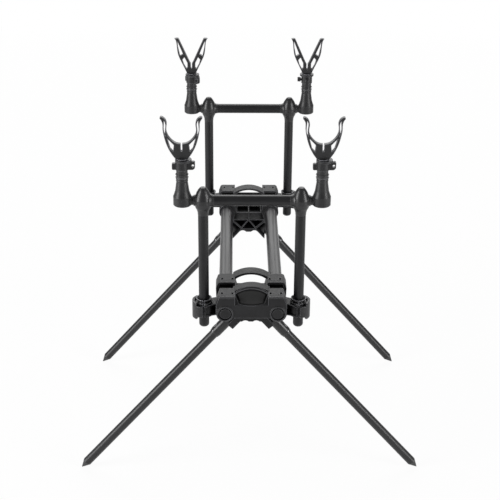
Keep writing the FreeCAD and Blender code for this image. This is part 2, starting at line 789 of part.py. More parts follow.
def foot_cap():
    """Rounded cap with a plug in the foot of an upright."""
    plug_radius = upright_radius - tube_wall
    corner = upright_bottom - foot_cap_bottom
    lean = corner / math.sqrt(2)
    cap = turned((0, foot_cap_bottom),
                 [[(upright_radius - corner, foot_cap_bottom)],
                  [(upright_radius - corner + lean, upright_bottom - lean), (upright_radius, upright_bottom)],
                  [(plug_radius, upright_bottom)], [(plug_radius, upright_bottom + plug_length)],
                  [(0, upright_bottom + plug_length)]])
    return cap.translated(far_tee)


def crossbar(end):
    start = V(-crossbar_end, end * post_plane, crossbar_height)
    finish = V(crossbar_end, end * post_plane, crossbar_height)
    return rod(crossbar_radius, start, finish).cut(rod(crossbar_radius - tube_wall, start, finish))


def tee():
    """Ball tee: acorn body on the upright with a flared sleeve on the crossbar and a seat for the bell."""
    height = tee_top - tee_neck_bottom
    plug_radius = upright_radius - tube_wall - press_clearance
    steps = straight([(plug_radius, tee_neck_bottom - tee_plug_length), (plug_radius, tee_neck_bottom),
                      (upright_radius + tee_neck_step, tee_neck_bottom),
                      (tee_radius * tee_neck_radius_share, tee_neck_bottom + height * tee_neck_share)])
    for shares in tee_curve_shares:
        steps.append([(tee_radius * r, tee_neck_bottom + height * h) for r, h in shares])
    steps.append([(0, tee_top)])
    body = turned((0, tee_neck_bottom - tee_plug_length), steps).translated(far_tee)

    bar_plug_radius = crossbar_radius - tube_wall - press_clearance
    plug_end = sleeve_end + tee_plug_length
    sleeve = turned((0, 0), [[(sleeve_root_radius, 0)], [(sleeve_root_radius, sleeve_root)],
                             [(sleeve_waist_radius, sleeve_waist),
                              (crossbar_radius + sleeve_step, sleeve_end)],
                             [(bar_plug_radius, sleeve_end)], [(bar_plug_radius, plug_end)], [(0, plug_end)]])
    centre = far_tee + Z_AXIS * crossbar_height
    sleeve = placed_along(sleeve, centre, -X_AXIS)
    seat = rod(seat_radius, centre, V(seat_x, post_plane, crossbar_height))
    body = joined(body, [sleeve, seat])
    spigot_hole = rod(spigot_radius, centre, V(rest_half_gap, post_plane, crossbar_height))
    return body.cut(spigot_hole)


def bell():
    """Bell end: drum, cone and ringed neck in one, with a waist and a spigot into the tee."""
    profile = [(bell_radius - bell_edge, bell_bottom), (bell_radius, bell_bottom + bell_edge),
               (bell_radius, bell_drum_top - bell_edge), (bell_radius - bell_edge / 2, bell_drum_top),
               (bell_cone_radius, bell_cone_low), (bell_neck_radius, bell_cone_top)]
    for ring in range(bell_ridge_count):
        height = bell_cone_top + bell_ridge_pitch * ring
        profile += [(bell_ridge_radius, height + bell_ridge_pitch / 2),
                    (bell_neck_radius, height + bell_ridge_pitch)]
    profile += [(bell_neck_radius, bell_top), (0, bell_top)]
    body = turned((0, bell_bottom), straight(profile)).translated(V(rest_half_gap, post_plane, 0))
    centre = V(rest_half_gap, post_plane, crossbar_height)
    waist = rod(waist_radius, V(seat_x, post_plane, crossbar_height), centre)
    spigot = rod(spigot_radius, far_tee + Z_AXIS * crossbar_height, centre)
    body = joined(body, [waist, spigot])
    stem_hole = rod(stem_radius + slide_clearance, V(rest_half_gap, post_plane, bell_drum_top),
                    V(rest_half_gap, post_plane, bell_top + overrun))
    return body.cut(stem_hole)


for end in (NEAR, FAR):
    parts[END_NAMES[end] + "_crossbar"] = crossbar(end)
    parts[END_NAMES[end] + "_foot_caps"] = Part.makeCompound([at_corner(foot_cap(), end, side)
                                                              for side in (LEFT, RIGHT)])
far_right_post = {"upright": upright(), "tee": tee(), "bell_end": bell()}
for end, side in ENDS_AND_SIDES:
    for piece, shape in far_right_post.items():
        parts[corner_name(end, side, piece)] = at_corner(shape, end, side)

# Indicator collars under the rests, and their thumb knobs
collar_low = 567.0
collar_high = 580.0
band_radius = 10.0
flange_radius = 12.6
flange_offset = 2.4
flange_low = 580.0
flange_high = 583.2
big_lug_reach = 20.0
small_lug_reach = 15.0
small_lug_height = 10.0
lug_half_width = 3.0
lug_hole_x = 16.7
lug_hole_radius = 2.2
lug_corner_radius = 2.0
lug_foot_radius = 5.0
knob_radius = 4.2
knob_waist_radius = 3.7
knob_reach = 17.0
knob_seat = 11.0
knob_chamfer = 0.7
knob_screw_reach = 2.0
knob_height = 573.5
knob_flute_count = 10
collar_turns = {(NEAR, LEFT): 0.0, (NEAR, RIGHT): 0.0, (FAR, LEFT): -48.0, (FAR, RIGHT): 90.0}


def rest_collar():
    """Collar modelled about its own axis: band, two lugs, a flange on top and a threaded knob seat."""
    band = rod(band_radius, Z_AXIS * collar_low, Z_AXIS * collar_high)
    width = (-lug_half_width, lug_half_width)
    across = Y_AXIS * 2 * lug_half_width
    small_top = collar_low + small_lug_height
    big_lug = block((0, big_lug_reach), width, (collar_low, collar_high))
    small_lug = block((-small_lug_reach, 0), width, (collar_low, small_top))
    big_high = V(big_lug_reach, -lug_half_width, collar_high)
    big_low = V(big_lug_reach, -lug_half_width, collar_low)
    small_high = V(-small_lug_reach, -lug_half_width, small_top)
    small_low = V(-small_lug_reach, -lug_half_width, collar_low)
    big_cuts = [rounding(big_high, -X_AXIS, -Z_AXIS, lug_corner_radius, across),
                rounding(big_low, -X_AXIS, Z_AXIS, lug_foot_radius, across)]
    small_cuts = [rounding(small_high, X_AXIS, -Z_AXIS, lug_corner_radius, across),
                  rounding(small_low, X_AXIS, Z_AXIS, lug_corner_radius, across)]
    flange = rod(flange_radius, V(flange_offset, 0, flange_low), V(flange_offset, 0, flange_high))
    body = joined(band, [big_lug.cut(big_cuts), small_lug.cut(small_cuts), flange])
    bore = rod(stem_radius + slide_clearance, Z_AXIS * (collar_low - overrun),
               Z_AXIS * (flange_high + overrun))
    lug_hole = rod(lug_hole_radius, V(lug_hole_x, -lug_half_width - overrun, knob_height),
                   V(lug_hole_x, lug_half_width + overrun, knob_height))
    knob_hole = rod(stem_radius / 2 + slide_clearance, V(0, 0, knob_height),
                    V(0, band_radius + overrun, knob_height))
    return body.cut([bore, lug_hole, knob_hole])


def knob_outline(scale, y):
    """Fluted outline of the thumb knob at one distance from the stem."""
    points = []
    for step in range(2 * knob_flute_count):
        radius = (knob_waist_radius if step % 2 else knob_radius) * scale
        angle = math.pi * step / knob_flute_count
        points.append(V(radius * math.cos(angle), y, knob_height + radius * math.sin(angle)))
    return Part.makePolygon(points + points[:1])


def thumb_knob():
    """Knob on a short screw that presses on the stem."""
    narrow = (knob_radius - knob_chamfer) / knob_radius
    outlines = [knob_outline(narrow, knob_seat), knob_outline(1, knob_seat + knob_chamfer),
                knob_outline(1, knob_reach - knob_chamfer), knob_outline(narrow, knob_reach)]
    head = Part.makeLoft(outlines, True, True)
    screw = rod(stem_radius / 2, V(0, stem_radius + turn_clearance, knob_height),
                V(0, knob_seat + knob_screw_reach, knob_height))
    return head.fuse(screw)


def on_stem(shape, end, side, turn=0.0):
    """The shape modelled about the Z axis, turned and moved to one of the four stems."""
    moved = shape.copy()
    moved.rotate(ORIGIN, Z_AXIS, turn)
    return moved.translated(V(side * rest_half_gap, end * post_plane, 0))


for end, side in ENDS_AND_SIDES:
    parts[corner_name(end, side, "collar")] = on_stem(rest_collar(), end, side, collar_turns[(end, side)])
    parts[corner_name(end, side, "knob")] = on_stem(thumb_knob(), end, side, collar_turns[(end, side)])

# Rests: U grips at the near end, V rests at the far end, each with its stem.
# The outlines are half plates from the middle of the slit up the inside, over the tip and down the outside.
rest_base = flange_high + turn_clearance
rest_rise = overall_height - rest_base
rest_half_thickness = 3.4
grip_half_width = 31.7
rod_rest_half_width = 30.1
hub_radius = 8.3
hub_top_radius = 5.2
hub_edge = 0.6
hub_height = 2.2
stem_bottom = bell_drum_top + turn_clearance

grip_outline_shares = (((0.0, 0.19),), ((0.035, 0.215),), ((0.035, 0.37),), ((0.12, 0.375),),
                       ((0.29, 0.40), (0.50, 0.48), (0.66, 0.598), (0.70, 0.724), (0.675, 0.828),
                        (0.715, 0.917), (0.80, 0.97), (0.91, 1.0)),
                       ((0.975, 0.992), (1.0, 0.965)),
                       ((0.93, 0.92), (0.88, 0.857), (0.87, 0.723), (0.82, 0.559), (0.74, 0.41),
                        (0.587, 0.23), (0.41, 0.09), (0.26, 0.0)), ((0.0, 0.0),))
grip_windows_shares = ((((0.80, 0.915),), ((0.822, 0.75), (0.785, 0.60), (0.725, 0.55)),
                        ((0.755, 0.70), (0.735, 0.80), (0.75, 0.86))),
                       (((0.67, 0.50),), ((0.36, 0.345),), ((0.40, 0.19),), ((0.53, 0.26),)))
rest_outline_shares = (((0.0, 0.15),), ((0.035, 0.174),), ((0.035, 0.29),), ((0.113, 0.35),), ((0.72, 0.95),),
                       ((0.79, 0.995), (0.87, 1.0)), ((1.0, 0.99),),
                       ((0.93, 0.945), (0.885, 0.86), (0.857, 0.725), (0.797, 0.55), (0.645, 0.38),
                        (0.442, 0.19), (0.26, 0.0)), ((0.0, 0.0),))
rest_windows_shares = ((((0.83, 0.915),), ((0.80, 0.75),), ((0.685, 0.51),), ((0.50, 0.56),)),
                       (((0.545, 0.40),), ((0.415, 0.47),), ((0.24, 0.31),), ((0.24, 0.18),),
                        ((0.31, 0.15),), ((0.46, 0.27),)))


def share_outline(outline_shares, half_width):
    """Face of an outline of shares; its first step holds the start point alone."""
    steps = []
    for step in outline_shares:
        steps.append([(half_width * x, rest_base + rest_rise * z) for x, z in step])
    return outline_face(steps[0][0], steps[1:])


def fork(outline_shares, windows_shares, half_width):
    """Two-armed rest cut from one thick plate, with its hub and stem."""
    thickness = V(0, 2 * rest_half_thickness, 0)
    half = share_outline(outline_shares, half_width).extrude(thickness)
    cuts = []
    for shares in windows_shares:
        cuts.append(share_outline(shares, half_width).extrude(thickness))
    half = half.cut(cuts).translated(V(0, -rest_half_thickness, 0))
    hub_top = rest_base + hub_height
    hub = turned((0, rest_base), straight([(hub_radius, rest_base), (hub_radius, rest_base + hub_edge),
                                           (hub_top_radius, hub_top), (0, hub_top)]))
    stem = rod(stem_radius, Z_AXIS * stem_bottom, Z_AXIS * (rest_base + hub_edge))
    return joined(half, [mirrored_x(half), hub, stem])


u_grip = fork(grip_outline_shares, grip_windows_shares, grip_half_width)
v_rest = fork(rest_outline_shares, rest_windows_shares, rod_rest_half_width)
for side in (LEFT, RIGHT):
    parts[corner_name(NEAR, side, "butt_grip")] = on_stem(u_grip, NEAR, side)
    parts[corner_name(FAR, side, "rod_rest")] = on_stem(v_rest, FAR, side)

# Legs: knuckle with a socket, tube, spike and snap button
knuckle_radius = 9.25
eye_radius = 9.1
eye_half_width = 8.6
socket_mouth = 44.0
socket_bottom = 20.0
lip_length = 4.0
lip_radius = 8.6
spike_length = 17.0
spike_shoulder = 2.0
spike_tip_radius = 0.6
button_radius = 1.6
button_stand = 1.3
button_distance = 40.0
button_tilt = 47.0
button_foot_radius = 2.5
button_foot_thickness = 0.75
finger_recess_distance = 31.0
finger_recess_radius = 5.0
finger_recess_depth = 1.4


def along_leg(points):
    """Solid of revolution about the far right leg from points of radius and distance from the hinge."""
    return placed_along(turned(points[0], straight(points[1:])), hinge_point, leg_down)


def button_direction(end):
    """Unit vector from the leg's axis to its button, on the upper side turned to the near end."""
    tilt = math.radians(button_tilt)
    return leg_across * -math.cos(tilt) + Y_AXIS * (-end * math.sin(tilt))


def knuckle(end):
    """Knuckle with a round eye on the hinge pin and a socket for the tube."""
    body = along_leg([(0, 0), (knuckle_radius, 0), (knuckle_radius, socket_mouth - lip_length),
                      (lip_radius, socket_mouth - lip_length / 2), (lip_radius, socket_mouth),
                      (0, socket_mouth)])
    eye = rod(eye_radius, on_leg(0, -eye_half_width), on_leg(0, eye_half_width))
    body = joined(body, [eye])
    socket = rod(leg_radius, on_leg(socket_bottom), on_leg(socket_mouth + overrun))
    pin_reach = pin_direction * 2 * knuckle_radius
    pin_hole = rod(hinge_pin_radius + slide_clearance, hinge_point - pin_reach, hinge_point + pin_reach)
    centre = on_leg(button_distance)
    button_hole = rod(button_radius + slide_clearance, centre,
                      centre + button_direction(end) * (knuckle_radius + overrun))
    recess_axis = on_leg(finger_recess_distance, finger_recess_depth - knuckle_radius - finger_recess_radius)
    recess = rod(finger_recess_radius, recess_axis - Y_AXIS * knuckle_radius,
                 recess_axis + Y_AXIS * knuckle_radius)
    return body.cut([socket, pin_hole, button_hole, recess])


def leg_tube(end):
    start = on_leg(socket_bottom)
    finish = on_leg(leg_length - spike_length)
    tube = rod(leg_radius, start, finish).cut(rod(leg_radius - tube_wall, start, finish))
    centre = on_leg(button_distance)
    hole = rod(button_radius + slide_clearance, centre, centre + button_direction(end) * knuckle_radius)
    return tube.cut(hole)


def spike():
    """Turned point with a plug in the foot of the leg tube."""
    start = leg_length - spike_length
    plug_radius = leg_radius - tube_wall
    tip = leg_length + spike_tip_radius * leg_across.z / abs(leg_down.z)
    return along_leg([(0, start - plug_length), (plug_radius, start - plug_length), (plug_radius, start),
                      (leg_radius, start), (leg_radius, start + spike_shoulder), (spike_tip_radius, tip),
                      (0, tip)])


def snap_button(end):
    """Round-nosed button that stands out of the knuckle near its mouth."""
    nose_top = knuckle_radius + button_stand
    nose_low = nose_top - button_radius
    lean = button_radius / math.sqrt(2)
    root = leg_radius - tube_wall - button_foot_thickness
    button = turned((0, root - button_foot_thickness),
                    [[(button_foot_radius, root - button_foot_thickness)], [(button_foot_radius, root)],
                     [(button_radius, root)], [(button_radius, nose_low)],
                     [(lean, nose_low + lean), (0, nose_top)]])
    return placed_along(button, on_leg(button_distance), button_direction(end))


for end, side in ENDS_AND_SIDES:
    parts[corner_name(end, side, "leg_knuckle")] = at_corner(knuckle(end), end, side)
    parts[corner_name(end, side, "leg_tube")] = at_corner(leg_tube(end), end, side)
    parts[corner_name(end, side, "leg_spike")] = at_corner(spike(), end, side)
    parts[corner_name(end, side, "snap_button")] = at_corner(snap_button(end), end, side)

# The origin stands on the ground under the middle of the whole pod, which lies a little
# off the middle of the spine because only the near end has the end block.
near_reach = -(end_outer_face - pad_lip)
far_reach = post_plane + big_lug_reach
origin_shift = (near_reach - far_reach) / 2

os.makedirs("parts", exist_ok=True)
for name, shape in parts.items():
    placed = shape.translated(V(0, origin_shift, 0))
    placed.exportStep("parts/" + name + ".step")
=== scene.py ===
import bmesh
import bpy
import math
from mathutils import Matrix, Vector


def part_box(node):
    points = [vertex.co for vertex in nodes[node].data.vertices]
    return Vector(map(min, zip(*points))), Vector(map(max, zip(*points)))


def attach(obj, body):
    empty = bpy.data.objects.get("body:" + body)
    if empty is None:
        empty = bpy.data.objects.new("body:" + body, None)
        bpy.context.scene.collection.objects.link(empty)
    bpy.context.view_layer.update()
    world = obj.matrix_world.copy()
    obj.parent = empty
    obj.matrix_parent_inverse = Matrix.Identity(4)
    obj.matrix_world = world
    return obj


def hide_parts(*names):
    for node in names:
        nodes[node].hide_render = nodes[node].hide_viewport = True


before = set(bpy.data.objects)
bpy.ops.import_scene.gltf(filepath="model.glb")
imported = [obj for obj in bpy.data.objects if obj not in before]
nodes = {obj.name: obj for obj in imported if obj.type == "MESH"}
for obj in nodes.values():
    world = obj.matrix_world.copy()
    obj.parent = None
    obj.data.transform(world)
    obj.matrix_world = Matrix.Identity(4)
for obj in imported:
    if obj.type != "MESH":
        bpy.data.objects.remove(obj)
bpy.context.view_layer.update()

# Camera: a long lens a little above the pod, looking along the spine from the end block.
# Its place and tilt were fitted to the photograph on the uprights, crossbars and spike tips.
camera_place = Vector((-0.02729, -1.94787, 1.21874))
camera_pitch = math.radians(24.441)
camera_heading = math.radians(0.818)
camera_roll = math.radians(0.428)
camera_focal_pixels = 1218.87
picture_pixels = 500.0
sensor_width_mm = 36.0
view_reach = 20.0
camera_data = bpy.data.cameras.new("photo_camera")
camera_data.sensor_width = sensor_width_mm
camera_data.lens = camera_focal_pixels * sensor_width_mm / picture_pixels
camera_data.clip_end = view_reach
camera = bpy.data.objects.new("photo_camera", camera_data)
bpy.context.scene.collection.objects.link(camera)
forward = Vector((math.sin(camera_heading) * math.cos(camera_pitch),
                  math.cos(camera_heading) * math.cos(camera_pitch), -math.sin(camera_pitch)))
level_right = Vector((math.cos(camera_heading), -math.sin(camera_heading), 0.0))
level_up = level_right.cross(forward)
right = level_right * math.cos(camera_roll) + level_up * math.sin(camera_roll)
up = level_up * math.cos(camera_roll) - level_right * math.sin(camera_roll)
camera.matrix_world = Matrix((right, up, -forward)).transposed().to_4x4()
camera.location = camera_place
bpy.context.scene.camera = camera
bpy.context.scene.view_settings.view_transform = "Standard"

# Studio floor: pale card that keeps the pod's soft shadow. Seen by the lens, or mirrored in
# steel and plastic, it is mostly lit of its own accord, so that it comes out nearly white.
floor_half = 6.0
shadow_reach = 0.5
white_from = 3.0
floor_white_seen = 0.93
floor_white_mirrored = 0.45
card_tone = 0.85
floor_mesh = bpy.data.meshes.new("studio_floor")
floor_mesh.from_pydata([(-floor_half, -floor_half, 0.0), (floor_half, -floor_half, 0.0),
                        (floor_half, floor_half, 0.0), (-floor_half, floor_half, 0.0)], [], [(0, 1, 2, 3)])
floor = bpy.data.objects.new("studio_floor", floor_mesh)
bpy.context.scene.collection.objects.link(floor)


def white_by_ray(tree, plain, white, out, seen, mirrored):
    """Mixes a plain shader with a white one, by the share of white that each kind of ray sees:
    seen, straight or through glass, a socket or a number, and mirrored, a number."""
    rays = tree.nodes.new("ShaderNodeLightPath")
    shares = []
    for ray, share in (("Is Camera Ray", seen), ("Is Glossy Ray", mirrored), ("Is Transmission Ray", seen)):
        scaled = tree.nodes.new("ShaderNodeMath")
        scaled.operation = "MULTIPLY"
        if isinstance(share, float):
            scaled.inputs[1].default_value = share
        else:
            tree.links.new(share, scaled.inputs[1])
        tree.links.new(rays.outputs[ray], scaled.inputs[0])
        shares.append(scaled)
    most = shares[0]
    for scaled in shares[1:]:
        larger = tree.nodes.new("ShaderNodeMath")
        larger.operation = "MAXIMUM"
        tree.links.new(most.outputs[0], larger.inputs[0])
        tree.links.new(scaled.outputs[0], larger.inputs[1])
        most = larger
    blend = tree.nodes.new("ShaderNodeMixShader")
    tree.links.new(most.outputs[0], blend.inputs["Fac"])
    tree.links.new(plain.outputs[0], blend.inputs[1])
    tree.links.new(white.outputs[0], blend.inputs[2])
    tree.links.new(blend.outputs[0], out.inputs["Surface"])


floor_card = bpy.data.materials.new("studio_floor_card")
floor_card.use_nodes = True
floor_tree = floor_card.node_tree
floor_tree.nodes.clear()
floor_out = floor_tree.nodes.new("ShaderNodeOutputMaterial")
floor_matt = floor_tree.nodes.new("ShaderNodeBsdfDiffuse")
floor_matt.inputs["Color"].default_value = (card_tone, card_tone, card_tone, 1.0)
floor_glow = floor_tree.nodes.new("ShaderNodeEmission")
floor_glow.inputs["Color"].default_value = (1.0, 1.0, 1.0, 1.0)
floor_glow.inputs["Strength"].default_value = 1.0
floor_place = floor_tree.nodes.new("ShaderNodeTexCoord")
floor_reach = floor_tree.nodes.new("ShaderNodeVectorMath")
floor_reach.operation = "LENGTH"
floor_tree.links.new(floor_place.outputs["Object"], floor_reach.inputs[0])
floor_fade = floor_tree.nodes.new("ShaderNodeMapRange")
floor_fade.inputs["From Min"].default_value = shadow_reach
floor_fade.inputs["From Max"].default_value = white_from
floor_fade.inputs["To Min"].default_value = floor_white_seen
floor_fade.inputs["To Max"].default_value = 1.0
floor_tree.links.new(floor_reach.outputs["Value"], floor_fade.inputs["Value"])
white_by_ray(floor_tree, floor_matt, floor_glow, floor_out, floor_fade.outputs[0], floor_white_mirrored)
floor_mesh.materials.append(floor_card)

# Studio surround: a dim room that fills the shadows of the black plastic evenly, and plain
# white where the lens looks past the floor.
room_level = 0.18
room_white_mirrored = 0.1
surround = bpy.data.worlds.new("studio_surround")
bpy.context.scene.world = surround
surround.use_nodes = True
surround_tree = surround.node_tree
surround_tree.nodes.clear()
sky_out = surround_tree.nodes.new("ShaderNodeOutputWorld")
sky_room = surround_tree.nodes.new("ShaderNodeBackground")
sky_room.inputs["Color"].default_value = (1.0, 1.0, 1.0, 1.0)
sky_room.inputs["Strength"].default_value = room_level
sky_white = surround_tree.nodes.new("ShaderNodeBackground")
sky_white.inputs["Color"].default_value = (1.0, 1.0, 1.0, 1.0)
sky_white.inputs["Strength"].default_value = 1.0
white_by_ray(surround_tree, sky_room, sky_white, sky_out, 1.0, room_white_mirrored)


# Lamps: a tall softbox at each side, which draw the long streaks on the tubes and tees, a wide
# one overhead, and a lit strip behind, which the tops of the blocks and crossbars mirror.
def softbox(name, place, aim, width, height, watts):
    """Area lamp that faces the given point and isn't seen by the lens."""
    lamp = bpy.data.lights.new(name, "AREA")
    lamp.shape = "RECTANGLE"
    lamp.size = width
    lamp.size_y = height
    lamp.energy = watts
    holder = bpy.data.objects.new(name, lamp)
    bpy.context.scene.collection.objects.link(holder)
    holder.location = place
    holder.rotation_mode = "QUATERNION"
    holder.rotation_quaternion = (Vector(aim) - Vector(place)).to_track_quat("-Z", "Y")
    holder.visible_camera = False


pod_middle = (0.0, 0.0, 0.35)
strip_aim = (0.0, 0.0, 1.0)
softbox("overhead_softbox", place=(0.0, 1.4, 2.1), aim=pod_middle, width=1.8, height=1.2, watts=20.0)
softbox("left_softbox", place=(-2.1, -1.0, 1.1), aim=pod_middle, width=0.95, height=1.9, watts=50.0)
softbox("right_softbox", place=(2.1, -1.3, 1.0), aim=pod_middle, width=0.85, height=1.8, watts=38.0)
softbox("lit_backdrop", place=(0.0, 2.6, 1.4), aim=strip_aim, width=4.4, height=1.3, watts=33.0)


# Leg blocks: the two stout mouldings, of glass filled nylon, that carry the spine tubes and the
# legs and end in a carrying arch. Their skin has the fine grain of a spark eroded mould, and
# the corners are rounded and carry a painted highlight that makes them a little paler.
corner_round = 0.0011
edge_samples = 4
grain_detail = 2.0
grain_share = 0.45
grain_strength = 0.5
cloud_scale = 38.0
cloud_detail = 6.0
dark_tone_share = 0.72
dark_until = 0.36
pale_tone_share = 1.3
pale_from = 0.66
# Inside occlusion at which the painted edge highlight starts, and at which it is whole.
edge_highlight_starts = 0.92
edge_highlight_whole = 0.5
gloss_swing = 0.07


def grained_plastic(name, tone, roughness, shine, grains, grain_depth, edge_highlight_reach, edge_highlight_tone):
    """Moulded black plastic, by the grains in a metre and their depth, and by how far in from
    its corners a painted highlight reaches and how pale it makes them."""
    paint = bpy.data.materials.new(name)
    paint.use_nodes = True
    tree = paint.node_tree
    shader = tree.nodes["Principled BSDF"]
    shader.inputs["Specular IOR Level"].default_value = shine
    place = tree.nodes.new("ShaderNodeTexCoord")
    grain = tree.nodes.new("ShaderNodeTexNoise")
    grain.inputs["Scale"].default_value = grains
    grain.inputs["Detail"].default_value = grain_detail
    cloud = tree.nodes.new("ShaderNodeTexNoise")
    cloud.inputs["Scale"].default_value = cloud_scale
    cloud.inputs["Detail"].default_value = cloud_detail
    for texture in (grain, cloud):
        tree.links.new(place.outputs["Object"], texture.inputs["Vector"])
    speckle = tree.nodes.new("ShaderNodeMix")
    speckle.data_type = "FLOAT"
    speckle.inputs["Factor"].default_value = grain_share
    tree.links.new(cloud.outputs["Fac"], speckle.inputs["A"])
    tree.links.new(grain.outputs["Fac"], speckle.inputs["B"])
    colours = tree.nodes.new("ShaderNodeValToRGB")
    colours.color_ramp.elements[0].color = (*[share * dark_tone_share for share in tone], 1.0)
    colours.color_ramp.elements[0].position = dark_until
    colours.color_ramp.elements[1].color = (*[share * pale_tone_share for share in tone], 1.0)
    colours.color_ramp.elements[1].position = pale_from
    tree.links.new(speckle.outputs["Result"], colours.inputs["Fac"])
    nearness = tree.nodes.new("ShaderNodeAmbientOcclusion")
    nearness.inside = True
    nearness.samples = edge_samples
    nearness.inputs["Distance"].default_value = edge_highlight_reach
    wear_and_edge_highlight = tree.nodes.new("ShaderNodeMapRange")
    wear_and_edge_highlight.inputs["From Min"].default_value = edge_highlight_starts
    wear_and_edge_highlight.inputs["From Max"].default_value = edge_highlight_whole
    tree.links.new(nearness.outputs["AO"], wear_and_edge_highlight.inputs["Value"])
    # Painted highlight: near corners and in thin ribs, as the inside occlusion finds them, the colour is
    # mixed towards the paler corner tone.
    edge_highlight_mix = tree.nodes.new("ShaderNodeMix")
    edge_highlight_mix.data_type = "RGBA"
    edge_highlight_mix.inputs["B"].default_value = (*[edge_highlight_tone * share / tone[0] for share in tone], 1.0)
    tree.links.new(wear_and_edge_highlight.outputs[0], edge_highlight_mix.inputs["Factor"])
    tree.links.new(colours.outputs["Color"], edge_highlight_mix.inputs["A"])
    tree.links.new(edge_highlight_mix.outputs["Result"], shader.inputs["Base Color"])
    sheen = tree.nodes.new("ShaderNodeMapRange")
    sheen.inputs["To Min"].default_value = roughness - gloss_swing
    sheen.inputs["To Max"].default_value = roughness + gloss_swing
    tree.links.new(speckle.outputs["Result"], sheen.inputs["Value"])
    tree.links.new(sheen.outputs[0], shader.inputs["Roughness"])
    rounded = tree.nodes.new("ShaderNodeBevel")
    rounded.samples = edge_samples
    rounded.inputs["Radius"].default_value = corner_round
    relief = tree.nodes.new("ShaderNodeBump")
    relief.inputs["Strength"].default_value = grain_strength
    relief.inputs["Distance"].default_value = grain_depth
    tree.links.new(rounded.outputs[0], relief.inputs["Normal"])
    tree.links.new(grain.outputs["Fac"], relief.inputs["Height"])
    tree.links.new(relief.outputs[0], shader.inputs["Normal"])
    return paint


def finish(node_names, paint):
    """Gives CAD pieces their finish."""
    for name in node_names:
        for slot in nodes[name].material_slots:
            slot.material = paint


# Its corners and thin ribs are made paler by a painted highlight.
block_nylon = grained_plastic("block_nylon", tone=(0.014, 0.014, 0.015), roughness=0.48, shine=0.28,
                              grains=1400.0, grain_depth=0.0002, edge_highlight_reach=0.0011, edge_highlight_tone=0.13)
finish(["near_leg_block", "far_leg_block"], block_nylon)

# End block: the same nylon, pushed on the near ends of the spine tubes. Its slanted face has a
# pocket, in which a plain domed panel of smooth, low gloss plastic is glued, with a gap round it.
finish(["end_block"], block_nylon)
panel_gap = 0.0013
panel_dome = 0.0003
panel_rings = 8
weld_distance = 0.00002
same_facing = 0.99
# Its rim is made paler by a faint painted highlight.
panel_gloss = grained_plastic("panel_gloss", tone=(0.0046, 0.0046, 0.0046), roughness=0.32, shine=0.2,
                              grains=3000.0, grain_depth=0.00003, edge_highlight_reach=0.0007, edge_highlight_tone=0.03)


def domed_panel(node, name):
    """Crowned copy of a flat panel, a little smaller all round."""
    flat = bmesh.new()
    flat.from_mesh(nodes[node].data)
    bmesh.ops.remove_doubles(flat, verts=flat.verts, dist=weld_distance)
    outward = max(flat.faces, key=lambda face: face.calc_area() * (face.normal.y < 0)).normal.copy()
    front = [face for face in flat.faces if face.normal.dot(outward) > same_facing]
    rim = {}
    for face in front:
        for loop in face.loops:
            if sum(other in front for other in loop.edge.link_faces) == 1:
                rim[loop.vert.index] = (loop.link_loop_next.vert.index, loop.vert.co.copy())
    start = next(iter(rim))
    outline, here = [rim[start][1]], rim[start][0]
    while here != start:
        outline.append(rim[here][1])
        here = rim[here][0]
    flat.free()
    middle = sum(outline, Vector()) / len(outline)
    shell = bmesh.new()
    rings = []
    for step in range(panel_rings + 1):
        share = 1.0 - step / panel_rings
        ring = []
        for corner in outline:
            reach = (corner - middle).length
            spot = middle + (corner - middle) * share * (reach - panel_gap) / reach
            ring.append(shell.verts.new(spot - outward * panel_dome * share ** 2))
            if share == 0.0:
                break
        rings.append(ring)
    back = [shell.verts.new(point.co - outward * panel_dome / 2) for point in rings[0]]
    count = len(outline)
    for outer, inner in zip([back] + rings[:-2], rings[:-1]):
        for here in range(count):
            after = (here + 1) % count
            shell.faces.new((outer[here], outer[after], inner[after], inner[here]))
    for here in range(count):
        shell.faces.new((rings[-2][here], rings[-2][(here + 1) % count], rings[-1][0]))
    shell.faces.new(list(reversed(back)))
    bmesh.ops.recalc_face_normals(shell, faces=shell.faces)
    mesh = bpy.data.meshes.new(name)
    shell.to_mesh(mesh)
    shell.free()
    for face in mesh.polygons:
        face.use_smooth = len(face.vertices) < 5
    panel = bpy.data.objects.new(name, mesh)
    bpy.context.scene.collection.objects.link(panel)
    return panel


end_panel = domed_panel("badge_plate", "end_panel")
end_panel.data.materials.append(panel_gloss)
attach(end_panel, "root")
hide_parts("badge_plate")

# Spine: two drawn aluminium tubes, anodised dark grey, held in the blocks' cradles. They are
# drawn lengthwise, so their sheen has faint lines along Y. Plain nylon caps close their ends.
line_stretch = 30.0
line_scale = 900.0
line_detail = 3.0
line_strength = 0.3
smudge_scale = 55.0
smudge_detail = 7.0
smudge_share = 0.5
dark_paint_share = 0.82
dark_paint_until = 0.35
pale_paint_share = 1.18
pale_paint_from = 0.62
scratches_from = 0.76
sheen_swing = 0.05


